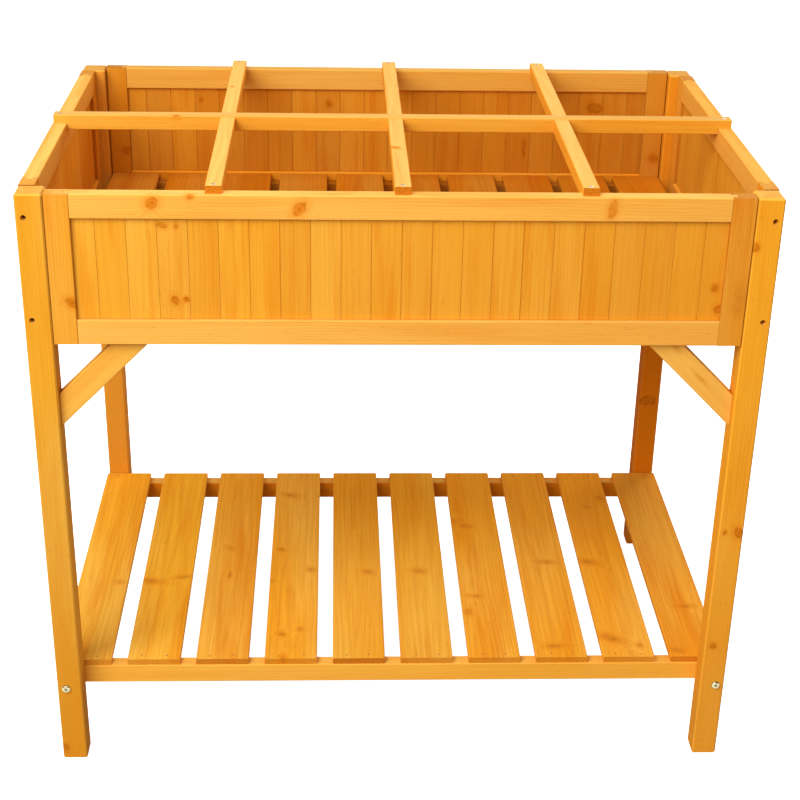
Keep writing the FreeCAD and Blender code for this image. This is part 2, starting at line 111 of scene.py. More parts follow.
def whiteNoise(tree, seed):
    return addNode(tree, "ShaderNodeTexWhiteNoise", {"W": seed}, noise_dimensions="1D").outputs


def swing(tree, chance, reach):
    # a random colour as a step of up to half the reach to either side
    centred = vectorCalc(tree, "SUBTRACT", chance, (0.5, 0.5, 0.5))
    return vectorCalc(tree, "MULTIPLY", centred, reach)


def offsets(tree, place, scale, reach):
    return swing(tree, noise(tree, place, scale)["Color"], reach)


def emptyMaterial(name):
    material = bpy.data.materials.new(name)
    material.use_nodes = True
    material.node_tree.nodes.clear()
    return material, material.node_tree


def addShader(tree, inputs):
    shader = addNode(tree, "ShaderNodeBsdfPrincipled", inputs)
    addNode(tree, "ShaderNodeOutputMaterial", {"Surface": shader.outputs[0]})


# stained fir: the grain runs along one direction, rings lie round a pith beside the piece

stain = {
    "pale": (0.88, 0.435, 0.053),
    "amber": (0.855, 0.355, 0.020),
    "rust": (0.76, 0.220, 0.006),
    "late": (0.64, 0.170, 0.004),        # dark half of a year ring
    "paleSheen": (0.80, 0.475, 0.128),    # paler tone, and painted sheen on faces that lie upwards
    "knotHeart": (0.68, 0.21, 0.008),
    "knotRim": (0.48, 0.11, 0.003),
    "smudge": (0.38, 0.125, 0.015),      # cut branch base, no clear rim
    "endGrain": (0.58, 0.16, 0.007),
    "endRing": (0.38, 0.10, 0.004),
    "seam": (0.72, 0.17, 0.001),         # stain gathered between boards
    "joint": (0.26, 0.055, 0.002),       # and where sticks meet, also painted shade in some of these corners
    "seamWidth": 0.0016,
    "roughness": (0.62, 0.80),
    "gloss": 0.01,
    "bump": 0.22,
    "bumpReach": 0.0005,
}

# scales are per metre, along the grain first, two numbers are where an effect begins and ends,
# and two more its strength there
grain = {
    "trunkStep": 1.73,                   # along the trunk from one stick to the next
    "trunkReach": 7.0,                   # length of trunk that a panel's boards come from
    "boardSeedStep": 31.7,
    "seamSeedStep": 12.9,
    "swirlScale": (1.5, 6.0, 6.0),
    "rippleScale": (11.0, 40.0, 40.0),
    "ripple": (0, 0.004, 0.004),
    "knotBend": (0.6, 3.4, 0.013, 0.0),  # a knot pushes the rings aside
    "lateRise": (0.2, 0.86),
    "lateFall": (0.9, 1.0, 1.0, 0.0),
    "ringsBlotch": (0.25, 0.7),
    "ringsFaint": 0.35,                  # strength of the rings where there is no blotch
    "broadScale": (1.8, 9.0, 9.0),
    "broad": (0.32, 0.62),
    "blotch": (0.48, 0.76),
    "threadScale": (7.0, 330.0, 330.0),
    "threads": (0.25, 0.75),
    "threadsRough": (0.2, 0.8),
    "tickScale": (60.0, 620.0, 620.0),
    "ticks": (0.70, 0.77, 0.0, 0.35),
    "tickTone": 0.6,
    "upward": (0.5, 0.95),
    "backReach": (0.0, 0.30),
    "shadeFacingRange": (0.0, 0.9),
    "shadeTopRange": (0.62, 0.74, 1.0, 0.0),
    "footShadeReach": (0.05, 0.65),
    "panelReach": (-0.46, 0.46),
    "lateRelief": 0.35,
}
knotShape = {
    "warpScale": (110, 110, 110),
    "warp": (0.005, 0.005, 0.005),
    "fade": (2.6, 3.0),
    "crumbScale": (150, 150, 150),
    "halo": (0.9, 2.6, 0.85, 0.0),
    "haloTone": 0.95,
    "smudge": (0.1, 1.4, 1.0, 0.0),
    "smudgeCrumbs": (0.36, 0.58, 0.35, 1.0),
    "heart": (0.75, 1.2, 1.7, 0.0),
    "rimRise": (0.3, 0.9),
    "rimFall": (0.9, 1.3, 1.0, 0.0),
    "rimCrumbs": (0.40, 0.60, 0.35, 1.4),
    "eye": (0.1, 0.7, 1.4, 0.0),
    "eyeCrumbs": (0.40, 0.62, 1.0, 0.4),
    "relief": (0.5, 1.4, -0.4, 0.0),
}
endShape = {"facing": (0.80, 0.95), "rings": 0.7, "cellScale": (420, 420, 420),
            "cells": (0.45, 0.75, 0.0, 0.30), "cellTone": 0.9}
edgeShape = {"facing": (0.74, 0.95), "tone": 1.08}


def tinted(colour, tone, warm=1.0):
    return (colour[0] * tone, colour[1] * tone * warm, colour[2] * tone * warm * warm, 1.0)


def boardPlace(tree, objectPlace, laid, turn, look):
    # each board of a panel comes from its own stretch of the tree
    sideways = Vector(look["sideways"])
    across = vectorCalc(tree, "DOT_PRODUCT", objectPlace, sideways)
    number = calc(tree, "FLOOR", calc(tree, "DIVIDE", across, look["pitch"]))
    chance = whiteNoise(tree, calc(tree, "ADD", number, look["seed"] * grain["boardSeedStep"]))
    middle = times(tree, calc(tree, "ADD", number, 0.5), look["pitch"])
    step = addNode(tree, "ShaderNodeVectorMath", {0: turn.inverted() @ sideways, "Scale": middle},
                   operation="SCALE").outputs[0]
    shift = swing(tree, chance["Color"], (grain["trunkReach"], look["pithReach"], look["pithReach"]))
    trunk = vectorCalc(tree, "ADD", vectorCalc(tree, "SUBTRACT", laid, step), shift)
    return trunk, across, chance


def boardColour(tree, colour, across, chance, look):
    # boards take the stain differently, and it gathers along their edges
    tone, pitch = look["tone"], look["pitch"]
    depth = spread(tree, chance["Value"], 0.0, 1.0, 1.0 - look["toneSpread"], 1.0 + look["toneSpread"])
    colour = shadeBy(tree, colour, depth)
    # painted shade: the boards redden towards one end of the panel, where less light falls
    ruddy = spread(tree, across, *grain["panelReach"], *look["ruddy"])
    colour = blend(tree, ruddy, colour, tinted(stain["rust"], tone))
    seam = spread(tree, calc(tree, "PINGPONG", across, pitch / 2), 0.0, stain["seamWidth"], 1.0, 0.0)
    seamNumber = calc(tree, "ROUND", calc(tree, "DIVIDE", across, pitch))
    seamChance = whiteNoise(tree, calc(tree, "ADD", seamNumber, look["seed"] * grain["seamSeedStep"]))
    seam = times(tree, seam, spread(tree, seamChance["Value"], 0.0, 1.0, *look["gathered"]))
    seam = times(tree, seam, spread(tree, across, *grain["panelReach"], *look["seamShow"]))
    return blend(tree, seam, colour, tinted(stain["seam"], tone))


def jointColour(tree, colour, place, look):
    # stain in the joints; some lines are painted shade, such as where boards meet the bottom rail and along
    # the brace's top under the panel
    sides = sidesOf(tree, place)
    for axis, level, strength in look["joints"]:
        away = calc(tree, "ABSOLUTE", calc(tree, "SUBTRACT", sides[axis], level))
        colour = blend(tree, spread(tree, away, 0.0, stain["seamWidth"], strength, 0.0), colour,
                       tinted(stain["joint"], look["tone"]))
    return colour


def knotField(tree, objectPlace, along, look):
    # 0 in a heart, 1 at its rim and more outside, and how strongly each knot shows
    warp = offsets(tree, objectPlace, knotShape["warpScale"], knotShape["warp"])
    warped = vectorCalc(tree, "ADD", objectPlace, warp)
    field = force = None
    for spot, normal, radius, stretch, lean, strength in look["knots"]:
        face = Vector(normal)
        stand = Matrix((along, face.cross(along), face)).transposed()
        stand = stand @ Matrix.Rotation(math.radians(lean), 3, "Z")
        seen = addNode(tree, "ShaderNodeMapping",
                       {"Vector": warped, "Location": spot, "Rotation": stand.to_euler(),
                        "Scale": (radius * stretch, radius, look["knotDepth"])},
                       vector_type="TEXTURE").outputs[0]
        reach = vectorCalc(tree, "LENGTH", seen)
        shown = spread(tree, reach, *knotShape["fade"], strength, 0.0)
        field = reach if field is None else calc(tree, "MINIMUM", field, reach)
        force = shown if force is None else calc(tree, "MAXIMUM", force, shown)
    return field, force


def knotColour(tree, colour, place, field, force, look):
    tone = look["tone"]
    crumbs = noise(tree, place, knotShape["crumbScale"])["Fac"]

    def inField(part):
        return spread(tree, field, *knotShape[part])

    def inCrumbs(part):
        return spread(tree, crumbs, *knotShape[part])

    halo = times(tree, inField("halo"), force)
    colour = blend(tree, halo, colour, tinted(stain["rust"], tone * knotShape["haloTone"]))
    if look["knotSoft"]:
        mark = times(tree, times(tree, inField("smudge"), force), inCrumbs("smudgeCrumbs"))
        return blend(tree, mark, colour, tinted(stain["smudge"], tone))
    heart = times(tree, inField("heart"), force)
    colour = blend(tree, heart, colour, tinted(stain["knotHeart"], tone))
    # the rim is dark only here and there
    rim = times(tree, times(tree, inField("rimRise"), inField("rimFall")), inCrumbs("rimCrumbs"))
    eye = times(tree, inField("eye"), inCrumbs("eyeCrumbs"))
    dark = times(tree, calc(tree, "MAXIMUM", rim, eye), force)
    return blend(tree, dark, colour, tinted(stain["knotRim"], tone))


def endColour(tree, colour, coords, laid, along, late, look):
    # ends of sticks drink more stain
    tone = look["tone"]
    facing = calc(tree, "ABSOLUTE", vectorCalc(tree, "DOT_PRODUCT", coords["Normal"], along))
    isEnd = times(tree, spread(tree, facing, *endShape["facing"]), look["endShow"])
    cells = noise(tree, laid, endShape["cellScale"])["Fac"]
    drunk = blend(tree, times(tree, late, endShape["rings"]), tinted(stain["endGrain"], tone),
                  tinted(stain["endRing"], tone))
    drunk = blend(tree, spread(tree, cells, *endShape["cells"]), drunk,
                  tinted(stain["pale"], tone * endShape["cellTone"]))
    return blend(tree, isEnd, colour, drunk)


def edgeColour(tree, colour, coords, look):
    # eased edges are paler: partly wear, partly painted light that evens out the shade in the grooves
    # between boards
    slope = sidesOf(tree, vectorCalc(tree, "ABSOLUTE", coords["Normal"]))
    steep = calc(tree, "MAXIMUM", calc(tree, "MAXIMUM", slope[0], slope[1]), slope[2])
    eased = spread(tree, steep, *edgeShape["facing"], look["edge"], 0.0)
    return blend(tree, eased, colour, tinted(stain["pale"], look["tone"] * edgeShape["tone"]))


def yearRings(tree, trunk, field, look):
    # rings wander along the stick and swing round knots
    swirl = offsets(tree, trunk, grain["swirlScale"], (0, look["swirl"], look["swirl"]))
    ripple = offsets(tree, trunk, grain["rippleScale"], grain["ripple"])
    bent = vectorCalc(tree, "ADD", vectorCalc(tree, "ADD", trunk, swirl), ripple)
    rings = vectorCalc(tree, "LENGTH", vectorCalc(tree, "MULTIPLY", bent, (0, 1, 1)))
    if field is not None:
        rings = calc(tree, "ADD", rings, spread(tree, field, *grain["knotBend"]))
    year = calc(tree, "FRACT", calc(tree, "DIVIDE", rings, look["ringGap"]))
    return times(tree, spread(tree, year, *grain["lateRise"]), spread(tree, year, *grain["lateFall"]))


def paintedShadeColour(tree, colour, coords, look):
    # painted shade: faces that look that way, below the bed, blend towards rust as if in shade
    facing = vectorCalc(tree, "DOT_PRODUCT", coords["Normal"], look["paintedShadeFacing"])
    height = sidesOf(tree, coords["Object"])[2]
    shaded = times(tree, spread(tree, facing, *grain["shadeFacingRange"]),
                   spread(tree, height, *grain["shadeTopRange"]))
    return blend(tree, shaded, colour, tinted(stain["rust"], look["tone"]))


def woodMaterial(name, look):
    material, tree = emptyMaterial(name)
    tone, warm, fibre = look["tone"], look["warm"], look["fibre"]
    rust = tinted(stain["rust"], tone, warm)
    along = Vector(look["along"]).normalized()
    turn = Vector((1, 0, 0)).rotation_difference(along)
    coords = addNode(tree, "ShaderNodeTexCoord", {}).outputs
    laid = addNode(tree, "ShaderNodeMapping",
                   {"Vector": coords["Object"], "Location": look["centre"], "Rotation": turn.to_euler()},
                   vector_type="TEXTURE").outputs[0]
    if "pitch" in look:
        trunk, across, chance = boardPlace(tree, coords["Object"], laid, turn, look)
    else:
        trunk = vectorCalc(tree, "ADD", laid, (look["seed"] * grain["trunkStep"], *look["pith"]))
    field = force = None
    if look["knots"]:
        field, force = knotField(tree, coords["Object"], along, look)
    late = yearRings(tree, trunk, field, look)
    broad = noise(tree, trunk, grain["broadScale"])["Fac"]
    blotch = noise(tree, trunk, look["blotchScale"], detail=4.0, roughness=0.55)["Fac"]
    threads = noise(tree, trunk, grain["threadScale"], detail=3.0, roughness=0.6)["Fac"]
    ticks = noise(tree, trunk, grain["tickScale"], detail=1.0)["Fac"]

    colour = blend(tree, spread(tree, broad, *grain["broad"], *look["mix"]),
                   tinted(stain["pale"], tone, warm), tinted(stain["amber"], tone, warm))
    # painted sheen: faces that lie upwards blend towards a pale colour; some pieces are also paler on every
    # face
    upward = sidesOf(tree, coords["Normal"])[2]
    colour = blend(tree, spread(tree, upward, *grain["upward"], *look["paleSheenShow"]), colour,
                   tinted(stain["paleSheen"], tone))
    # painted shade: towards the back, under the bed, the slats blend towards rust
    if look["backShade"]:
        depth = sidesOf(tree, coords["Object"])[1]
        colour = blend(tree, spread(tree, depth, *grain["backReach"], 0.0, look["backShade"]), colour, rust)
    # painted shade on faces under the bed that look one way
    if look["paintedShadeFacing"]:
        colour = paintedShadeColour(tree, colour, coords, look)
    faint = look["rings"] * grain["ringsFaint"]
    ringShow = times(tree, late, spread(tree, blotch, *grain["ringsBlotch"], faint, look["rings"]))
    colour = blend(tree, ringShow, colour, tinted(stain["late"], tone, warm))
    colour = blend(tree, spread(tree, blotch, *grain["blotch"], 0.0, look["blotch"]), colour, rust)
    # light threads show half as much as dark ones
    colour = shadeBy(tree, colour, spread(tree, threads, *grain["threads"], 1.0 - fibre, 1.0 + fibre / 2))
    colour = blend(tree, spread(tree, ticks, *grain["ticks"]), colour,
                   tinted(stain["late"], tone * grain["tickTone"]))
    # painted shade: the legs blend towards rust towards the floor
    if look["footShade"]:
        height = sidesOf(tree, coords["Object"])[2]
        colour = blend(tree, spread(tree, height, *grain["footShadeReach"], look["footShade"], 0.0), colour, rust)
    if "pitch" in look:
        colour = boardColour(tree, colour, across, chance, look)
    if look["endShow"]:
        colour = endColour(tree, colour, coords, laid, along, late, look)
    if look["edge"]:
        colour = edgeColour(tree, colour, coords, look)
    relief = calc(tree, "ADD", threads, times(tree, late, grain["lateRelief"]))
    if field is not None:
        colour = knotColour(tree, colour, coords["Object"], field, force, look)
        relief = calc(tree, "ADD", relief, spread(tree, field, *knotShape["relief"]))
    if look["joints"]:
        colour = jointColour(tree, colour, coords["Object"], look)

    bump = addNode(tree, "ShaderNodeBump",
                   {"Strength": stain["bump"], "Distance": stain["bumpReach"], "Height": relief})
    roughness = spread(tree, threads, *grain["threadsRough"], *stain["roughness"])
    addShader(tree, {"Base Color": colour, "Roughness": roughness, "Normal": bump.outputs[0],
                     "Specular IOR Level": stain["gloss"]})
    return material


def dress(name, material):
    piece = parts[name]
    if not piece.material_slots:
        piece.data.materials.append(material)
    for slot in piece.material_slots:
        slot.material = material


# looks of the wooden pieces

anyWood = {"knotDepth": 0.006, "knotSoft": False, "swirl": 0.026, "endShow": 0.8, "edge": 0.2,
           "fibre": 0.04, "strays": 0, "footShade": 0.0, "paleSheenShow": (0.0, 0.0), "mix": (0.0, 1.0),
           "blotchScale": (3.0, 32.0, 32.0), "paintedShadeFacing": None, "backShade": 0.0}
anySlat = {"along": "Y", "ringGap": 0.0050, "rings": 0.28, "blotch": 0.70, "pith": (0.03, 0.05),
           "tone": 1.0, "knotSoft": True, "endShow": 0.6, "edge": 0.1, "blotchScale": (2.4, 24.0, 24.0)}
sticks = {
    "shelf_rail": {"along": "X", "ringGap": 0.0042, "rings": 0.20, "blotch": 0.25, "pith": (0.02, 0.09),
                   "tone": 1.05, "paleSheenShow": (0.2, 0.4)},
    # painted shade: the cleats are seen only deep in the gaps between floor slats and get a dark tone
    "cleat": {"along": "X", "ringGap": 0.0042, "rings": 0.20, "blotch": 0.40, "pith": (0.02, 0.09),
              "tone": 0.45},
    "leg": {"along": "Z", "ringGap": 0.0036, "rings": 0.18, "blotch": 0.40, "pith": (0.02, 0.07),
            "tone": 0.96, "endShow": 0.15, "paleSheenShow": (0.0, 0.7), "strays": 2, "footShade": 0.42},
    "stile": {"along": "Z", "ringGap": 0.0040, "rings": 0.26, "blotch": 0.50, "pith": (0.02, 0.08),
              "tone": 0.88, "endShow": 0.55, "paleSheenShow": (0.0, 0.7)},
    "rail": {"along": "X", "ringGap": 0.0042, "rings": 0.24, "blotch": 0.30, "pith": (0.02, 0.09),
             "tone": 1.02, "paleSheenShow": (0.4, 0.8), "strays": 1},
    "shelf_slat": dict(anySlat, tone=1.02, fibre=0.08, backShade=0.26),
    "floor_slat": anySlat,
    "divider": {"along": "X", "ringGap": 0.0034, "rings": 0.20, "blotch": 0.25, "pith": (0.02, 0.06),
                "tone": 1.0, "paleSheenShow": (0.1, 0.9), "endShow": 0.95},
    "brace": {"along": "Z", "ringGap": 0.0038, "rings": 0.30, "blotch": 0.35, "pith": (0.02, 0.07),
              "tone": 1.0, "edge": 0.0, "paleSheenShow": (0.35, 0.35)},
}
panelBoards = {"ringGap": 0.0042, "rings": 0.17, "blotch": 0.55, "fibre": 0.045, "pitch": 0.04,
               "pithReach": 0.12, "strays": 5, "toneSpread": 0.035, "tone": 0.90,
               "endShow": 0.0, "mix": (0.3, 0.75), "blotchScale": (4.0, 50.0, 50.0), "knotDepth": 0.003,
               "ruddy": (0.0, 0.0), "gathered": (0.05, 0.65), "seamShow": (1.0, 1.0)}

# tone and warmth of pieces, partly stain and partly painted shade and light for pieces that lie in shade or
# in more light, such as inside boards, floor slats and back legs: the first start of a name that fits counts
stainAndShade = {
    "floor_slat": (0.63, 0.77), "floor_cleat": (1.0, 0.7), "back_boards": (0.74, 0.91),
    "left_boards": (1.10, 1.0), "right_boards": (0.92, 1.06),
    "leg_back_right": (0.85, 0.97), "leg_back_left": (0.86, 0.98), "back_stile": (0.78, 0.9),
    "leg_front_left": (0.94, 1.15), "leg_front_right": (1.1, 1.07), "front_stile_right": (0.95, 0.92),
    "shelf_slat_10": (1.0, 0.98), "shelf_slat_1": (1.04, 1.08), "shelf_slat_2": (1.04, 1.12),
    "shelf_slat_3": (1.03, 1.07), "shelf_slat_8": (1.02, 0.97), "shelf_slat_9": (1.04, 0.95),
    "shelf_rail_back": (0.92, 1.0), "shelf_slat": (1.0, 1.04), "divider_long": (0.87, 1.09),
    "front_top_rail": (1.0, 1.04), "back_top_rail": (0.82, 1.14), "back_bottom_rail": (0.85, 0.9),
    "left_bottom_rail": (0.85, 0.9), "right_bottom_rail": (0.85, 0.9), "shelf_rail_front": (1.04, 1.10),
    "brace": (1.03, 1.09), "right_top_rail": (0.90, 1.02),
}

# what single pieces have of their own
own = {
    "back_boards": {"toneSpread": 0.07, "gathered": (0.0, 0.4)},
    # painted shade: redder towards the right end of the front panel
    "front_boards": {"ruddy": (0.0, 0.32), "seamShow": (0.0, 1.2)},
    "front_stile_right": {"blotch": 0.7, "knotSoft": True},
    "front_stile_left": {"endShow": 0.1},
    "left_stile_front": {"endShow": 0.3},
    "right_stile_front": {"endShow": 0.3},
    "back_stile_right": {"endShow": 0.2},
    "right_top_rail": {"paleSheenShow": (0.4, 0.5)},
    "brace_front_right": {"blotch": 0.6, "knotSoft": True},
    "back_bottom_rail": {"paleSheenShow": (0.0, 0.0)},
    "left_bottom_rail": {"paleSheenShow": (0.0, 0.0)},
    "right_bottom_rail": {"paleSheenShow": (0.0, 0.0)},
    # painted shade on faces below the bed that look towards the front
    "leg_back_right": {"paintedShadeFacing": (-1, -1, 0)},
    "shelf_rail_back": {"paintedShadeFacing": (0, -1, 0)},
    "shelf_slat_3": {"endShow": 0.8},
    "shelf_slat_5": {"endShow": 0.95},
}
directions = {"X": (1, 0, 0), "Y": (0, 1, 0), "Z": (0, 0, 1)}
front, up = (0, -1, 0), (0, 0, 1)

# knots as seen: place, face, radius, stretch along the grain, lean in degrees, strength
knots = {
    "front_top_rail": [((-0.324, -0.330, 0.889), front, 0.0072, 1.15, 35, 0.50),
                       ((-0.134, -0.330, 0.882), front, 0.0068, 1.5, 50, 0.45),
                       ((0.273, -0.330, 0.884), front, 0.0058, 2.1, 78, 0.35),
                       ((-0.275, -0.330, 0.898), front, 0.0035, 1.3, 0, 0.45)],
    "front_boards": [((-0.313, -0.324, 0.857), front, 0.0042, 1.5, 80, 0.35),
                     ((-0.295, -0.324, 0.856), front, 0.0030, 1.2, 0, 0.35),
                     ((-0.300, -0.324, 0.752), front, 0.0045, 1.3, 20, 0.50),
                     ((-0.285, -0.324, 0.753), front, 0.0030, 1.1, 0, 0.75),
                     ((0.420, -0.324, 0.772), front, 0.0050, 1.1, 0, 0.50),
                     ((0.427, -0.324, 0.741), front, 0.0050, 1.1, 0, 0.50)],
    "front_stile_right": [((0.456, -0.330, 0.762), front, 0.0100, 1.8, 0, 0.24),
                          ((0.452, -0.330, 0.744), front, 0.0070, 1.5, 30, 0.24)],
    "brace_front_right": [((0.416, -0.318, 0.635), front, 0.0022, 5.0, 0, 0.35),
                          ((0.377, -0.318, 0.682), front, 0.0026, 3.0, 0, 0.35)],
    "front_stile_left": [((-0.434, -0.330, 0.750), front, 0.0060, 1.5, 60, 0.50)],
    "leg_front_right": [((0.467, -0.330, 0.832), front, 0.0042, 1.3, 0, 0.50),
                        ((0.473, -0.330, 0.396), front, 0.0030, 1.2, 0, 0.50),
                        ((0.493, -0.330, 0.396), front, 0.0062, 1.4, 30, 0.55),
                        ((0.476, -0.330, 0.200), front, 0.0045, 1.1, 0, 0.50)],
    "leg_front_left": [((-0.497, -0.330, 0.020), front, 0.0060, 1.2, 0, 0.35)],
    "leg_back_right": [((0.478, 0.294, 0.303), front, 0.0140, 0.6, 0, 0.70)],
    "back_boards": [((-0.099, 0.315, 0.841), front, 0.0052, 1.1, 0, 0.55),
                    ((-0.310, 0.315, 0.847), front, 0.0032, 1.1, 0, 0.55),
                    ((0.346, 0.315, 0.838), front, 0.0080, 1.6, 80, 0.40),
                    ((0.231, 0.315, 0.769), front, 0.0032, 4.5, 0, 0.45)],
    "back_stile_left": [((-0.438, 0.309, 0.762), front, 0.0060, 1.2, 70, 0.40)],
    "back_stile_right": [((0.451, 0.309, 0.754), front, 0.0070, 1.2, 60, 0.40)],
    "divider_cross_1": [((-0.249, 0.161, 0.911), up, 0.0028, 1.2, 0, 0.50)],
    "divider_cross_2": [((-0.005, -0.153, 0.911), up, 0.0038, 1.6, 60, 0.45)],
    "divider_long": [((-0.320, -0.008, 0.912), up, 0.0026, 1.6, 0, 0.55)],
    "shelf_slat_1": [((-0.437, -0.076, 0.155), up, 0.0055, 1.2, 60, 0.40)],
    "shelf_slat_2": [((-0.388, -0.074, 0.155), up, 0.0060, 2.6, 82, 0.60),
                     ((-0.336, -0.062, 0.155), up, 0.0050, 2.2, 100, 0.45)],
    "shelf_slat_3": [((-0.260, -0.056, 0.155), up, 0.0026, 3.0, 0, 0.65),
                     ((-0.265, 0.029, 0.155), up, 0.0045, 1.8, 40, 0.40)],
    "shelf_slat_4": [((-0.178, 0.023, 0.155), up, 0.0045, 1.3, 40, 0.55),
                     ((-0.127, -0.040, 0.155), up, 0.0052, 1.3, 20, 0.45),
                     ((-0.197, -0.072, 0.155), up, 0.0048, 1.5, 60, 0.50),
                     ((-0.170, -0.227, 0.155), up, 0.0045, 1.5, 60, 0.55),
                     ((-0.142, -0.214, 0.155), up, 0.0046, 1.2, 0, 0.40),
                     ((-0.168, 0.210, 0.155), up, 0.0055, 2.0, 70, 0.45),
                     ((-0.166, -0.292, 0.151), front, 0.0045, 1.9, 80, 0.70)],
    "shelf_slat_5": [((-0.034, -0.048, 0.155), up, 0.0058, 1.3, 60, 0.45)],
    "shelf_slat_6": [((0.051, -0.046, 0.155), up, 0.0060, 1.6, 80, 0.45)],
    "shelf_slat_7": [((0.110, 0.117, 0.155), up, 0.0055, 2.4, 95, 0.55),
                     ((0.138, 0.100, 0.155), up, 0.0045, 2.6, 75, 0.45),
                     ((0.124, -0.168, 0.155), up, 0.0055, 1.3, 0, 0.55),
                     ((0.138, -0.122, 0.155), up, 0.0042, 2.4, 85, 0.45)],
    "shelf_slat_8": [((0.264, -0.019, 0.155), up, 0.0052, 2.4, 85, 0.50),
                     ((0.250, -0.263, 0.155), up, 0.0050, 2.2, 95, 0.50)],
    "shelf_slat_9": [((0.336, -0.019, 0.155), up, 0.0070, 1.8, 75, 0.60),
                     ((0.388, 0.198, 0.155), up, 0.0060, 1.2, 30, 0.50),
                     ((0.360, 0.166, 0.155), up, 0.0045, 1.4, 60, 0.40),
                     ((0.339, -0.242, 0.155), up, 0.0075, 2.2, 60, 0.60),
                     ((0.382, -0.262, 0.155), up, 0.0042, 1.2, 0, 0.50)],
    "shelf_slat_10": [((0.473, -0.154, 0.155), up, 0.0048, 2.2, 90, 0.50),
                      ((0.437, -0.275, 0.155), up, 0.0055, 1.8, 80, 0.50)],
}
steel = ("screws", "bolts", "nuts")
outward = {"left": (-1, 0, 0), "right": (1, 0, 0), "back": (0, 1, 0)}
strayKnot = {"radius": (0.003, 0.006), "stretch": (1.1, 2.0), "lean": (0, 90), "strength": (0.35, 0.6)}
jointStrength = {"sticks": 0.8, "boardSides": 0.4, "boardEnds": 0.5}
chances = {"seedStep": 7, "seedStart": 3, "warm": (0.95, 1.05), "tone": (0.97, 1.03), "pithShare": 0.5}


def grainAxis(name, kind):
    if kind == "brace":
        return (1, 0, 1) if name.endswith("left") else (-1, 0, 1)
    if kind == "rail" and name.startswith(("left", "right")) or "cross" in name:
        return directions["Y"]
    return directions[sticks[kind]["along"]]


def jointLevels(name, kind, low, high):
    # axis, place and strength of the joints in which stain has gathered, and where painted shade is put in
    # the corner
    axis = 1 if name.startswith(("left", "right")) else 0
    inner, outer = sorted((low[axis], high[axis]), key=abs)
    firm, soft = jointStrength["sticks"], jointStrength["boardSides"]
    levels = {"brace": [(axis, outer, firm), (2, high.z, firm)],
              "stile": [(axis, outer, firm), (axis, inner, soft)]}
    return levels.get(kind, [])


def strayKnots(name, low, high, count, luck):
    # knots on outer faces that the photo doesn't show
    found = []
    for side in [side for side in outward if side in name.split("_")]:
        face = outward[side]
        for _ in range(count):
            spot = [high[axis] if face[axis] > 0 else low[axis] if face[axis] < 0
                    else luck.uniform(low[axis], high[axis]) for axis in range(3)]
            found.append((spot, face, *(luck.uniform(*limits) for limits in strayKnot.values())))
    return found


for count, name in enumerate(sorted(parts)):
    if name.endswith(steel):
        continue
    low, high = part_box(name)
    luck = random.Random(count * chances["seedStep"] + chances["seedStart"])
    look = dict(anyWood, centre=(low + high) / 2, seed=count + 1, knots=knots.get(name, []), joints=[])
    tone, warm = next((stainAndShade[start] for start in stainAndShade if name.startswith(start)), (1.0, 1.0))
    look["warm"] = warm * luck.uniform(*chances["warm"])
    if name.endswith("boards"):
        look.update(panelBoards)
        look["along"] = directions["Z"]
        look["sideways"] = directions["X" if name.startswith(("front", "back")) else "Y"]
        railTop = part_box(name.replace("boards", "bottom_rail"))[1].z
        look["joints"] = [(2, railTop, jointStrength["boardEnds"])]
    else:
        kind = next(kind for kind in sticks if kind in name)
        look.update(sticks[kind])
        look["along"] = grainAxis(name, kind)
        look["joints"] = jointLevels(name, kind, low, high)
        nearPith, farPith = look["pith"]
        look["pith"] = (luck.choice((-1, 1)) * luck.uniform(0, nearPith),
                        luck.choice((-1, 1)) * luck.uniform(farPith * chances["pithShare"], farPith))
        look["tone"] = look["tone"] * luck.uniform(*chances["tone"])
    look.update(own.get(name, {}))
    look["tone"] = look["tone"] * tone
    look["knots"] = look["knots"] + strayKnots(name, low, high, look["strays"], luck)
    dress(name, woodMaterial(name + "_fir", look))
print("wood dressed")


# zinc plated fasteners

metals = {
    "zinc": {"colour": (0.46, 0.44, 0.27), "tarnish": (0.30, 0.26, 0.11), "roughness": (0.30, 0.46)},
    # painted shade: a darker zinc for the frame screws deep in their holes
    "shadedZinc": {"colour": (0.20, 0.19, 0.16), "tarnish": (0.10, 0.085, 0.055), "roughness": (0.40, 0.60)},
    # painted highlight: a paler zinc so the short screws glint
    "glintZinc": {"colour": (0.88, 0.87, 0.82), "tarnish": (0.66, 0.63, 0.52), "roughness": (0.48, 0.62)},
    # painted shade: near-black metal on the walls of the cross recesses
    "recessShade": {"colour": (0.07, 0.06, 0.045), "tarnish": (0.03, 0.025, 0.015), "roughness": (0.6, 0.8)},
    "nail": {"colour": (0.36, 0.21, 0.10), "tarnish": (0.20, 0.10, 0.04), "roughness": (0.5, 0.7)},
}
plating = {"cloudScale": (260, 260, 260), "tarnish": (0.42, 0.7), "rough": (0.3, 0.7),
           "scratchScale": (900, 900, 2600), "bump": 0.12, "bumpReach": 0.0002}


def metalMaterial(name, metal):
    material, tree = emptyMaterial(name)
    place = addNode(tree, "ShaderNodeTexCoord", {}).outputs["Object"]
    cloud = noise(tree, place, plating["cloudScale"], detail=4.0, roughness=0.6)["Fac"]
    scratch = noise(tree, place, plating["scratchScale"])["Fac"]
    colour = blend(tree, spread(tree, cloud, *plating["tarnish"]),
                   (*metal["colour"], 1), (*metal["tarnish"], 1))
    bump = addNode(tree, "ShaderNodeBump",
                   {"Strength": plating["bump"], "Distance": plating["bumpReach"], "Height": scratch})
    addShader(tree, {"Base Color": colour, "Metallic": 1.0, "Normal": bump.outputs[0],
                     "Roughness": spread(tree, cloud, *plating["rough"], *metal["roughness"])})
    return material


metalMaterials = {kind: metalMaterial(kind + "_plate", metal) for kind, metal in metals.items()}


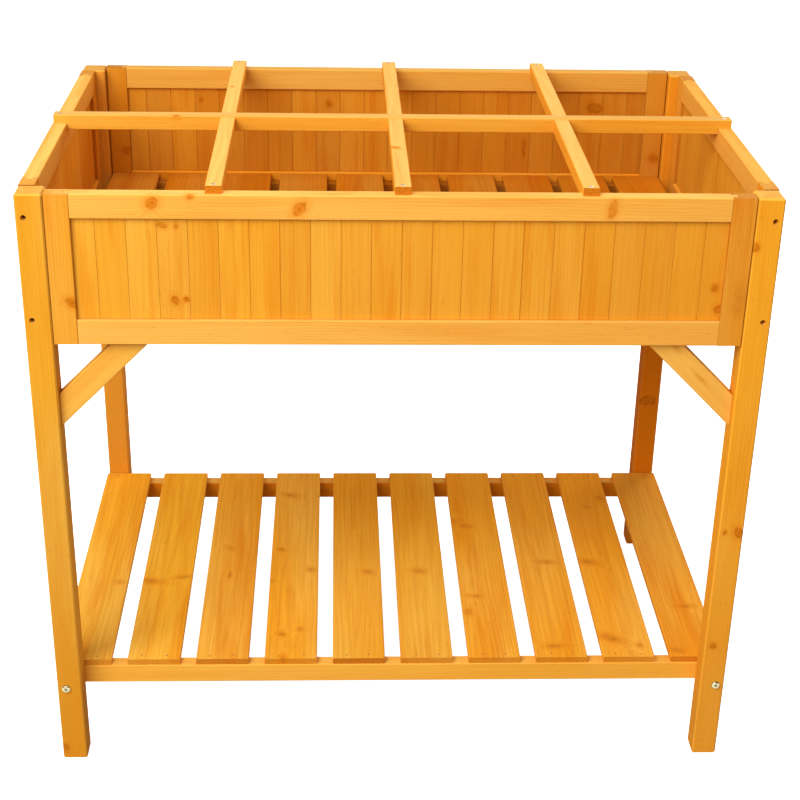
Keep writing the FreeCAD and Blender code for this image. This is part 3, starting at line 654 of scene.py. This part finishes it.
# the blade's width is a share of the cross, and its taper what is left of that at the tip
modelling = {"flat": 0.9, "merge": 1e-5, "smoothAngle": 38, "bladeWidth": 0.26, "bladeTaper": 0.5}


def deselectAll():
    bpy.ops.object.select_all(action="DESELECT")


def makeActive(piece):
    deselectAll()
    piece.select_set(True)
    bpy.context.view_layer.objects.active = piece


def pickFaces(piece, chosen):
    # leaves the piece in edit mode with only these faces selected
    makeActive(piece)
    bpy.ops.object.mode_set(mode="EDIT")
    bpy.ops.mesh.select_mode(type="FACE")
    bpy.ops.mesh.select_all(action="DESELECT")
    bpy.ops.object.mode_set(mode="OBJECT")
    for face in piece.data.polygons:
        face.select = chosen(face)
    bpy.ops.object.mode_set(mode="EDIT")


def facesUp(face):
    return face.normal.z > modelling["flat"]


def facesDown(face):
    return face.normal.z < -modelling["flat"]


def drawDown(length, scale=1.0):
    bpy.ops.mesh.extrude_region_move(TRANSFORM_OT_translate={"value": (0, 0, -length)})
    bpy.ops.transform.resize(value=(scale, scale, 1), center_override=(0, 0, 0))


def startHead(name, size):
    # a disc with its top at the origin and a rounded upper rim
    deselectAll()
    bpy.ops.mesh.primitive_cylinder_add(vertices=size["sides"], radius=size["head"] / 2,
                                        depth=size["headHeight"], location=(0, 0, -size["headHeight"] / 2))
    piece = bpy.context.object
    piece.name = name
    bpy.ops.object.transform_apply(location=True, rotation=True, scale=True)
    pickFaces(piece, facesUp)
    bpy.ops.mesh.bevel(offset=size["crown"], segments=size["crownSteps"], affect="EDGES")
    bpy.ops.object.mode_set(mode="OBJECT")
    return piece


def addShank(piece, size):
    # plain neck, ridges of the thread and a point, all drawn down from the head's underside
    pickFaces(piece, facesDown)
    bpy.ops.mesh.inset(thickness=(size["head"] - size["shank"]) / 2)
    plain = size["length"] - size["point"] - size["pitch"] * size["ridges"]
    drawDown(plain)
    for _ in range(size["ridges"]):
        drawDown(size["pitch"] / 2, size["root"])
        drawDown(size["pitch"] / 2, 1 / size["root"])
    drawDown(size["point"], size["tip"])
    bpy.ops.object.mode_set(mode="OBJECT")


def cutCross(piece, size):
    # recess for a cross driver, from two tapered blades that leave near-black metal on its walls as painted
    # shade
    bladeScale = (size["cross"], size["cross"] * modelling["bladeWidth"], size["crossDepth"] * 2)
    taper = modelling["bladeTaper"]
    for turn in (0, 90):
        deselectAll()
        bpy.ops.mesh.primitive_cube_add(size=1.0, rotation=(0, 0, math.radians(turn)), scale=bladeScale)
        blade = bpy.context.object
        blade.data.materials.append(metalMaterials["recessShade"])
        bpy.ops.object.transform_apply(location=True, rotation=True, scale=True)
        pickFaces(blade, facesDown)
        bpy.ops.transform.resize(value=(taper, taper, 1), center_override=(0, 0, 0))
        bpy.ops.object.mode_set(mode="OBJECT")
        makeActive(piece)
        cut = piece.modifiers.new("recess", "BOOLEAN")
        cut.operation = "DIFFERENCE"
        cut.object = blade
        cut.material_mode = "TRANSFER"
        bpy.ops.object.modifier_apply(modifier=cut.name)
        bpy.data.objects.remove(blade)


def solidBoxes(name):
    # corners of each separate solid of a node, from a merged copy that is removed again
    deselectAll()
    copy = parts[name].copy()
    copy.data = parts[name].data.copy()
    bpy.context.collection.objects.link(copy)
    makeActive(copy)
    bpy.ops.object.mode_set(mode="EDIT")
    bpy.ops.mesh.select_all(action="SELECT")
    bpy.ops.mesh.remove_doubles(threshold=modelling["merge"])
    bpy.ops.mesh.separate(type="LOOSE")
    bpy.ops.object.mode_set(mode="OBJECT")
    corners = []
    for solid in list(bpy.context.selected_objects):
        sides = list(zip(*(vertex.co for vertex in solid.data.vertices)))
        corners.append([Vector(limit(side) for side in sides) for limit in (min, max)])
        bpy.data.objects.remove(solid)
    return sorted(corners, key=lambda pair: tuple(round(value, 4) for value in pair[0]))


def fastenerSpots(name, axis=None):
    # outer end and inward direction of each fastener: all are driven in from outside or above
    found = []
    for low, high in solidBoxes(name):
        size = high - low
        driven = max(range(3), key=lambda number: size[number]) if axis is None else axis
        end = (low + high) / 2
        sign = 1 if end[driven] > 0 else -1
        end[driven] = high[driven] if sign > 0 else low[driven]
        inward = Vector((0, 0, 0))
        inward[driven] = -sign
        found.append((end, inward))
    return found


def plant(master, spots, luck):
    # one copy at each spot with a turn of its own, joined to one piece
    copies = []
    for end, inward in spots:
        copy = master.copy()
        copy.data = master.data.copy()
        bpy.context.collection.objects.link(copy)
        spin = Quaternion((0, 0, 1), luck.uniform(0, math.tau))
        copy.rotation_euler = (inward.to_track_quat("-Z", "Y") @ spin).to_euler()
        copy.location = end
        copies.append(copy)
    deselectAll()
    for copy in copies:
        copy.select_set(True)
    piece = copies[0]
    bpy.context.view_layer.objects.active = piece
    bpy.ops.object.transform_apply(location=True, rotation=True, scale=True)
    bpy.ops.object.join()
    bpy.ops.object.shade_smooth_by_angle(angle=math.radians(modelling["smoothAngle"]))
    name = master.name
    bpy.data.objects.remove(master)
    piece.name = name
    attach(piece, "root")
    return piece


screwSizes = {
    "frame_screws": {"head": 0.0072, "headHeight": 0.0026, "crown": 0.0008, "crownSteps": 2, "shank": 0.004,
                     "length": 0.045, "point": 0.005, "pitch": 0.0018, "ridges": 14, "root": 0.78,
                     "tip": 0.15, "cross": 0.0038, "crossDepth": 0.0016, "sides": 16, "metal": "shadedZinc"},
    "short_screws": {"head": 0.0066, "headHeight": 0.0022, "crown": 0.0005, "crownSteps": 2, "shank": 0.0035,
                     "length": 0.030, "point": 0.005, "pitch": 0.0018, "ridges": 9, "root": 0.78,
                     "tip": 0.15, "cross": 0.0034, "crossDepth": 0.0014, "sides": 16, "metal": "glintZinc"},
    "shelf_bolts": {"head": 0.0126, "headHeight": 0.0038, "crown": 0.0026, "crownSteps": 5, "shank": 0.006,
                    "length": 0.0635, "point": 0.001, "pitch": 0.001, "ridges": 18, "root": 0.88, "tip": 0.8,
                    "cross": 0.0066, "crossDepth": 0.0026, "sides": 24, "metal": "zinc"},
}
for node, size in screwSizes.items():
    spots = fastenerSpots(node)
    master = startHead(node + "_driven", size)
    addShank(master, size)
    master.data.materials.append(metalMaterials[size["metal"]])
    cutCross(master, size)
    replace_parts(plant(master, spots, random.Random(len(spots))), node)
print("screws and bolts modelled")

nutSize = {"width": 0.010, "height": 0.005, "bore": 0.0054, "chamfer": 0.0007, "boreSides": 20, "seed": 5}


def modelNut(name, size):
    deselectAll()
    bpy.ops.mesh.primitive_cylinder_add(vertices=6, radius=size["width"] / math.sqrt(3),
                                        depth=size["height"], location=(0, 0, -size["height"] / 2))
    piece = bpy.context.object
    piece.name = name
    bpy.ops.object.transform_apply(location=True, rotation=True, scale=True)
    pickFaces(piece, facesDown)
    bpy.ops.mesh.bevel(offset=size["chamfer"], segments=1, affect="EDGES")
    bpy.ops.object.mode_set(mode="OBJECT")
    deselectAll()
    bpy.ops.mesh.primitive_cylinder_add(vertices=size["boreSides"], radius=size["bore"] / 2,
                                        depth=size["height"] * 3)
    drill = bpy.context.object
    makeActive(piece)
    cut = piece.modifiers.new("bore", "BOOLEAN")
    cut.operation = "DIFFERENCE"
    cut.object = drill
    bpy.ops.object.modifier_apply(modifier=cut.name)
    bpy.data.objects.remove(drill)
    return piece


spots = fastenerSpots("shelf_nuts", axis=1)
nut = modelNut("shelf_nuts_cut", nutSize)
nut.data.materials.append(metalMaterials["zinc"])
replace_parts(plant(nut, spots, random.Random(nutSize["seed"])), "shelf_nuts")

# two nails at each end of a slat, into what carries it

nailSize = {"head": 0.0026, "headHeight": 0.0006, "crown": 0.0002, "crownSteps": 1, "shank": 0.0018,
            "length": 0.024, "point": 0.003, "pitch": 0.001, "ridges": 0, "root": 1.0, "tip": 0.2,
            "sides": 10, "proud": 0.0002, "shares": (0.28, 0.72), "stray": 0.0025, "seed": 11}
nailed = {"shelf": ("shelf_rail_front", "shelf_rail_back"),
          "floor": ("floor_cleat_front", "floor_cleat_back")}

for level, carriers in nailed.items():
    luck = random.Random(len(level) + nailSize["seed"])
    spots = []
    for slat in sorted(node for node in parts if node.startswith(level + "_slat")):
        low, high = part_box(slat)
        for carrier in carriers:
            carrierLow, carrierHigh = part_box(carrier)
            for share in nailSize["shares"]:
                x = low.x + share * (high.x - low.x) + luck.uniform(-1, 1) * nailSize["stray"]
                y = (carrierLow.y + carrierHigh.y) / 2 + luck.uniform(-1, 1) * nailSize["stray"]
                spots.append((Vector((x, y, high.z + nailSize["proud"])), Vector((0, 0, -1))))
    master = startHead(level + "_nails", nailSize)
    addShank(master, nailSize)
    master.data.materials.append(metalMaterials["nail"])
    plant(master, spots, luck)
print("nuts and nails modelled")


# floor, light and camera

studio = {"floor": 200.0, "floorColour": (0.9, 0.9, 0.9, 1), "floorRoughness": 0.9, "floorGlow": 0.9,
          "skirting": 1.36, "walls": 0.34, "ceiling": 0.14, "below": 0.13, "frontGain": 1.25,
          "skirtingTop": (0.04, 0.22), "ceilingFrom": (0.45, 0.85), "horizon": (-0.12, 0.02),
          "frontToBack": (-0.8, 0.8), "roomColour": (1.0, 0.84, 0.72, 1)}
lamps = {
    "key": {"at": (-1.5, -2.35, 2.8), "aim": (0, 0, 0.8), "size": 2.6, "watts": 148},
    "top": {"at": (0.0, 0.1, 3.3), "aim": (0, 0, 0.9), "size": 1.6, "watts": 32},
    "fill": {"at": (1.7, 2.6, 1.8), "aim": (0, 0, 0.6), "size": 2.0, "watts": 44},
}
view = {"at": (-0.08817, -2.30416, 1.57010), "turn": (64.0358, -1.07379, -2.06075), "lens": 72.203,
        "sensor": 36.0}

deselectAll()
bpy.ops.mesh.primitive_plane_add(size=studio["floor"], location=(0, 0, 0))
floor = bpy.context.object
floor.name = "floor"
floor.visible_diffuse = False      # the room's light from below is in the world instead
paper = bpy.data.materials.new("pale_floor")
paper.use_nodes = True
paperShader = paper.node_tree.nodes["Principled BSDF"].inputs
paperShader["Base Color"].default_value = studio["floorColour"]
paperShader["Roughness"].default_value = studio["floorRoughness"]
paperShader["Emission Color"].default_value = (1, 1, 1, 1)
paperShader["Emission Strength"].default_value = studio["floorGlow"]
floor.data.materials.append(paper)

# pale walls all round, brightest near the floor and in front, and a darker ceiling
world = bpy.data.worlds.new("studio")
bpy.context.scene.world = world
world.use_nodes = True
room = world.node_tree
skyPlace = addNode(room, "ShaderNodeTexCoord", {}).outputs["Generated"]
heading = sidesOf(room, skyPlace)
skirting = spread(room, heading["Z"], *studio["skirtingTop"], studio["skirting"] - studio["walls"], 0.0)
wall = spread(room, heading["Z"], *studio["ceilingFrom"], studio["walls"], studio["ceiling"])
ground = spread(room, heading["Z"], *studio["horizon"], studio["below"], 1.0)
frontGlow = spread(room, heading["Y"], *studio["frontToBack"], studio["frontGain"],
                   2.0 - studio["frontGain"])
glow = times(room, times(room, calc(room, "ADD", skirting, wall), ground), frontGlow)
room.links.new(glow, room.nodes["Background"].inputs["Strength"])
room.nodes["Background"].inputs["Color"].default_value = studio["roomColour"]

for name, lamp in lamps.items():
    bpy.ops.object.light_add(type="AREA", location=lamp["at"])
    light = bpy.context.object
    light.name = name
    light.data.size = lamp["size"]
    light.data.energy = lamp["watts"]
    light.rotation_euler = (Vector(lamp["aim"]) - Vector(lamp["at"])).to_track_quat("-Z", "Y").to_euler()

bpy.ops.object.camera_add(location=view["at"], rotation=[math.radians(angle) for angle in view["turn"]])
camera = bpy.context.object
camera.data.lens = view["lens"]
camera.data.sensor_width = view["sensor"]
bpy.context.scene.camera = camera
bpy.context.scene.view_settings.view_transform = "Standard"
print("studio set")
